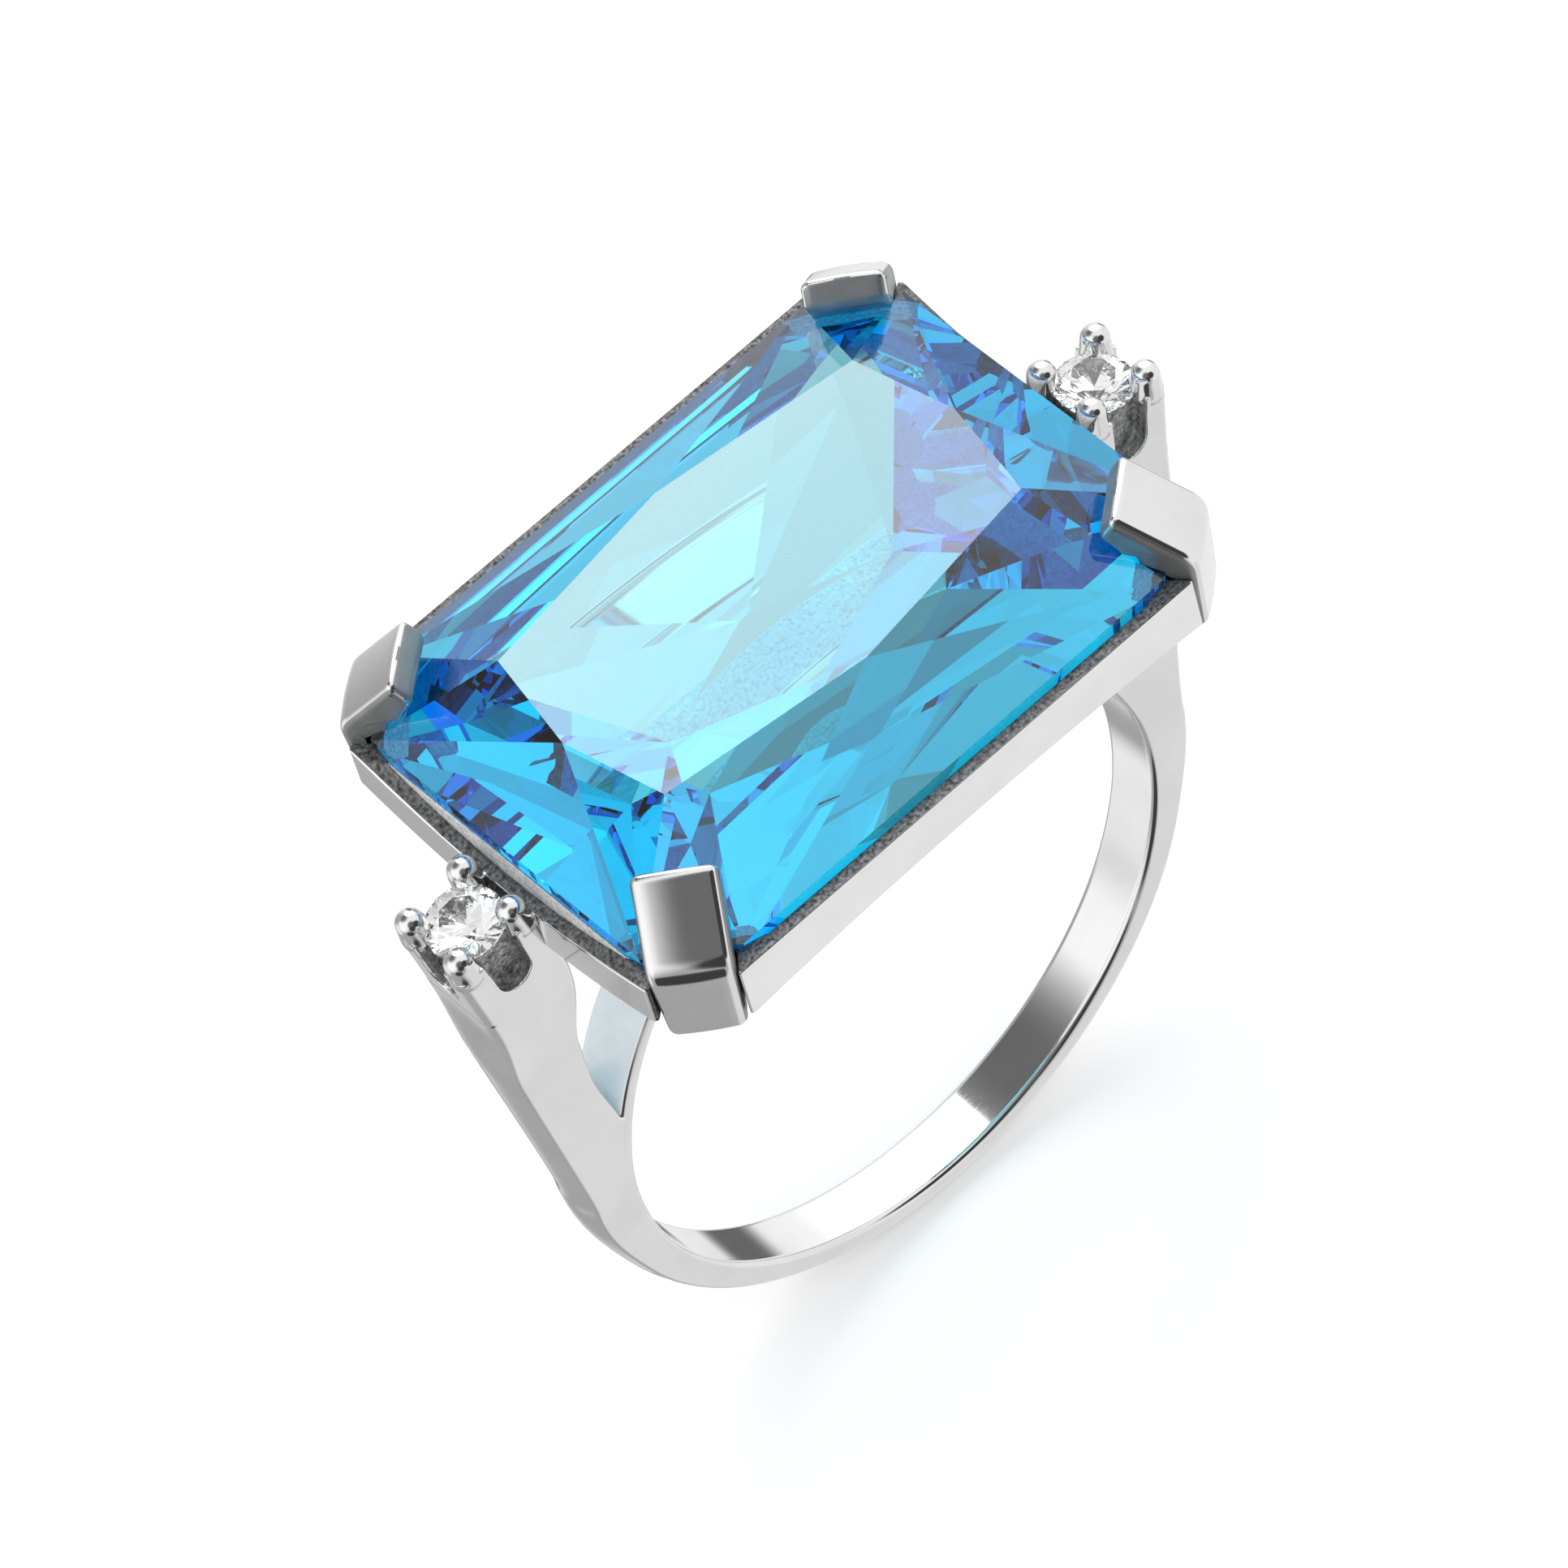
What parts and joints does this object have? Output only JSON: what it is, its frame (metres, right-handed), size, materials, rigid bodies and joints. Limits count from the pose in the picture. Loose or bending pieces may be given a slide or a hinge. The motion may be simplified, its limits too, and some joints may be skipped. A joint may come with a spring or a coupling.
{
  "type": "cocktail ring",
  "caption": "Cocktail ring: cut-corner rectangular stone held by corner claws in a low gallery, small round accents on forked shoulders, slim round hoop",
  "frame": {"origin": "centre of the finger bore", "axes": "+Y along the finger bore, +Z from the bore's centre up through the table of the main stone, +X along the long side of the main stone"},
  "size_m": [0.0232, 0.0138, 0.0254],
  "materials": {
    "hoop_metal": "polished rhodium-coloured plating",
    "gallery_metal": "polished rhodium-coloured plating",
    "cast_metal": "grainy as-cast surface",
    "claw_metal": "polished rhodium-coloured plating",
    "accent_metal": "polished rhodium-coloured plating",
    "blue_stone": "clear sky-blue faceted stone",
    "clear_stone": "colourless faceted stone"
  },
  "bodies": {
    "root": {"shank": "hoop_metal", "shoulder_left": "hoop_metal", "shoulder_right": "hoop_metal", "gallery_wall": "gallery_metal", "stone_seat": "cast_metal", "claw_front_left": "claw_metal", "claw_front_right": "claw_metal", "claw_rear_left": "claw_metal", "claw_rear_right": "claw_metal", "accent_cup_left": "accent_metal", "accent_cup_right": "accent_metal", "prong_left_1": "accent_metal", "prong_left_2": "accent_metal", "prong_left_3": "accent_metal", "prong_left_4": "accent_metal", "prong_right_1": "accent_metal", "prong_right_2": "accent_metal", "prong_right_3": "accent_metal", "prong_right_4": "accent_metal", "main_stone": "blue_stone", "accent_stone_left": "clear_stone", "accent_stone_right": "clear_stone"}
  },
  "joints": []
}
